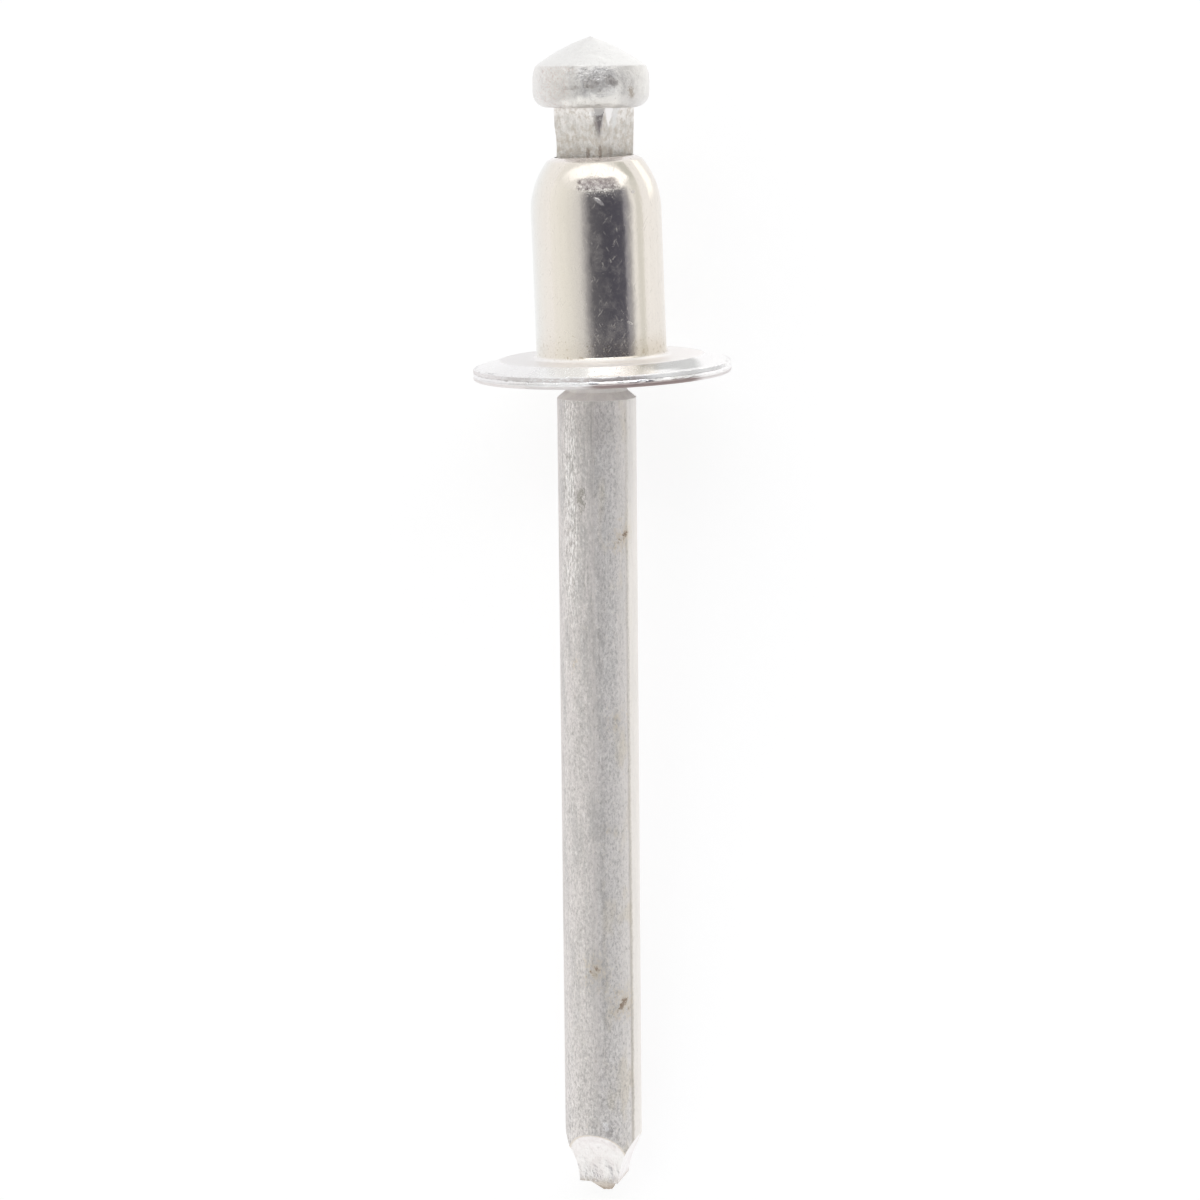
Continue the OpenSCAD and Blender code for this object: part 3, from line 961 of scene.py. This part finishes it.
# ---- rivet body ----
def body_outline():
    """Half the section of the rivet body: down its outside from the lip, and up the bore."""
    shoulder_z = BODY_LEN - SHOULDER_LEN
    shoulder_x, shoulder_r, inner_r = shoulder_arc()
    shoulder_turn = math.degrees(math.asin(SHOULDER_LEN / shoulder_r))
    inner_turn = math.degrees(math.acos((HOLE_R - shoulder_x) / inner_r))
    ring_w = EDGE_W - RING_SHORT
    dome_edge = FLANGE_R - RIM_ROUND
    dome_r, dome_z, under_z = dome_arc()
    dome_from = math.degrees(math.acos(dome_edge / dome_r))
    dome_to = math.degrees(math.acos((BORE_R + MOUTH_BEVEL) / dome_r))

    outline = [
        (HOLE_R, BODY_LEN),
        (HOLE_R + 0.05, BODY_LEN - 0.003),
        (HOLE_R + 0.10, BODY_LEN - 0.018),
        (HOLE_R + 0.15, BODY_LEN - 0.05),
    ]
    outline += arc(shoulder_x, shoulder_z, shoulder_r, shoulder_turn - 3, 0, 24)
    outline += line((BODY_R, shoulder_z), (BODY_R, SEAT_FILLET), 20)[1:]
    outline += arc(BODY_R + SEAT_FILLET, SEAT_FILLET, SEAT_FILLET, 180, 270, 8)
    outline += line((BODY_R + SEAT_FILLET, 0), (SEAT_R, 0), 5)[1:]
    for i in range(15):
        out = ring_w * i / 14
        outline.append((SEAT_R + out, -RING_SLOPE * out - RING_CURVE * out**2))
    lip_z = outline[-1][1]
    outline += [
        (FLANGE_R - 0.03, lip_z - 0.02),
        (FLANGE_R - 0.01, lip_z - 0.05),
        (FLANGE_R - 0.005, lip_z - 0.15),
        (FLANGE_R - 0.035, lip_z - 0.165),
        (FLANGE_R, lip_z - 0.22),
        (FLANGE_R, lip_z - 0.25),
        (FLANGE_R - CREVICE, lip_z - 0.285),
        (FLANGE_R - 0.01, lip_z - 0.32),
    ]
    outline += line((FLANGE_R, lip_z - 0.34), (FLANGE_R, RIM_ROUND - RIM_Z), 2)
    outline += arc(dome_edge, RIM_ROUND - RIM_Z, RIM_ROUND, 0, -90, 6)
    outline += arc(0, dome_z, dome_r, -dome_from, -dome_to, 16)[1:]
    outline += line((BORE_R, MOUTH_BEVEL - under_z), (BORE_R, shoulder_z), 10)
    outline += arc(shoulder_x, shoulder_z, inner_r, 0, inner_turn, 10)
    outline += [(HOLE_R, BODY_LEN)]
    return outline


def rivet_body(finish):
    """The drawn body in one piece, with the sheared rim of its flange left ragged."""
    piece = turned("rivet_body_bright", body_outline(), 256)
    ragged(piece, 4.6, 4.8, -0.62, -0.24, 0.018)
    piece.data.materials.append(finish)
    smooth(piece, 32)
    lay_down(piece, body_frame)
    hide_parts("rivet_body")
    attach(piece, "root")
    return piece


# ---- mandrel ----
def mandrel(wire, struck, pinched, nipped):
    """The wire with its groove, pinched neck and nipped point, joined to its head and spur."""
    _, _, under_z = dome_arc()
    shoulder_x, _, inner_r = shoulder_arc()
    grip_z = BODY_LEN - SHOULDER_LEN + math.sqrt(inner_r**2 - (HOLE_R - shoulder_x) ** 2)
    groove_low = under_z + GROOVE_OUT
    groove_top = under_z - GROOVE_IN
    outline = [(0, -POINT_FOOT)]
    outline += line((STEM_R, -POINT_FOOT), (STEM_R, -groove_low), 24)
    outline += [
        (STEM_R, -groove_low),
        (STEM_R - 0.03, 0.02 - groove_low),
        (GROOVE_R, GROOVE_SLOPE + 0.07 - groove_low),
        (GROOVE_R, -GROOVE_SLOPE - groove_top),
        (STEM_R, -groove_top),
    ]
    outline += line((STEM_R, -groove_top), (STEM_R, grip_z - NECK_SLOPE), 5)[1:]
    outline += [(STEM_R, grip_z - NECK_SLOPE), (NECK_R, grip_z), (NECK_R, BODY_LEN)]
    outline += line((NECK_R, BODY_LEN), (STEM_R, HEAD_FOOT), 6)[1:]
    in_head = HEAD_FOOT + INTO_HEAD
    outline += [(STEM_R, HEAD_FOOT), (STEM_R, in_head), (0, in_head)]
    piece = turned("mandrel_wire", outline, 160)
    piece.data.materials.append(wire)
    for turn, deeper in FLATS:
        combine(
            piece,
            jaw(
                "pinching_jaw",
                PINCH_R,
                STEM_R - PINCH_DEPTH - deeper + PINCH_R,
                BODY_LEN + PINCH_RISE,
                PINCH_TURN + turn,
                pinched,
            ),
            "DIFFERENCE",
        )
    fall = STEM_R - POINT_HALF_W
    chord = math.hypot(POINT_LEN, fall)
    for turn, radius, lower in SCOOPS:
        reach = math.sqrt(radius**2 - (chord / 2) ** 2)
        combine(
            piece,
            jaw(
                "nipping_jaw",
                radius,
                (STEM_R + POINT_HALF_W) / 2 + reach * POINT_LEN / chord,
                -STEM_LEN - lower - POINT_LEN / 2 - reach * fall / chord,
                NIP_TURN + turn,
                nipped,
            ),
            "DIFFERENCE",
        )
    combine(piece, head(struck), "UNION")
    combine(piece, spur(nipped), "UNION")
    cleaned(piece, SLIVER)
    smooth(piece, 30)
    lay_down(piece, stem_frame)
    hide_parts("mandrel")
    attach(piece, "root")
    return piece


def head(finish):
    """The upset head, a little off the wire's axis and dented by the punch."""
    tuck_r = arc_radius(TUCK_H, HEAD_TUCK)
    tuck_turn = math.degrees(math.asin(TUCK_H / tuck_r))
    rim_r = HEAD_R - HEAD_TUCK
    side = math.hypot(rim_r, CONE_H)
    outline = [(0, HEAD_FOOT)]
    outline += line((0.3, HEAD_FOOT), (HEAD_R - HEAD_ROUND, HEAD_FOOT), 6)
    outline += arc(HEAD_R - HEAD_ROUND, HEAD_FOOT + HEAD_ROUND, HEAD_ROUND, -90, 0, 12)
    outline += arc(HEAD_R - tuck_r, HEAD_TOP - TUCK_H, tuck_r, 0, tuck_turn, 12)
    steps = 20
    for i in range(1, steps + 1):
        share = i / steps
        swell = CONE_SWELL * 4 * share * (1 - share)
        outline.append(
            (
                rim_r * (1 - share) + swell * CONE_H / side,
                HEAD_TOP + CONE_H * share + swell * rim_r / side,
            )
        )
    outline[-1] = (0, HEAD_TOP + CONE_H)
    piece = turned("head", outline, 160, off=HEAD_OFF)
    dented(piece, 0.75, 0.05)
    dented(piece, 0.25, 0.012)
    piece.data.materials.append(finish)
    return piece


def spur(finish):
    """The wedge of metal that tore off last: wide where it begins, narrow at its end."""
    select_nothing()
    bpy.ops.mesh.primitive_circle_add(
        vertices=24, radius=SPUR_ROOT_R, fill_type="NGON", location=(0.08, 0, 0.2 - POINT_FOOT)
    )
    piece = bpy.context.object
    piece.name = piece.data.name = "spur"
    bpy.ops.object.transform_apply(location=True)
    bpy.ops.object.mode_set(mode="EDIT")
    bpy.ops.mesh.select_all(action="SELECT")
    for aside, drop, width in SPUR_STEPS:
        bpy.ops.mesh.extrude_region_move(TRANSFORM_OT_translate={"value": (aside, 0, drop)})
        bpy.ops.transform.resize(value=(width, width, 1))
    bpy.ops.mesh.select_all(action="SELECT")
    bpy.ops.mesh.normals_make_consistent(inside=False)
    bpy.ops.object.mode_set(mode="OBJECT")
    ragged(piece, 0, 2, -9 - POINT_FOOT, -0.05 - POINT_FOOT, 0.035, seed=5)
    piece.data.materials.append(finish)
    return piece


for item in frame["nodes"].values():
    item.select_set(False)
select_nothing()
white_tent()
pale_table()
rivet_body(bright_nickel())
mandrel(drawn_wire(), struck_metal(), pinched_metal(), nipped_metal())
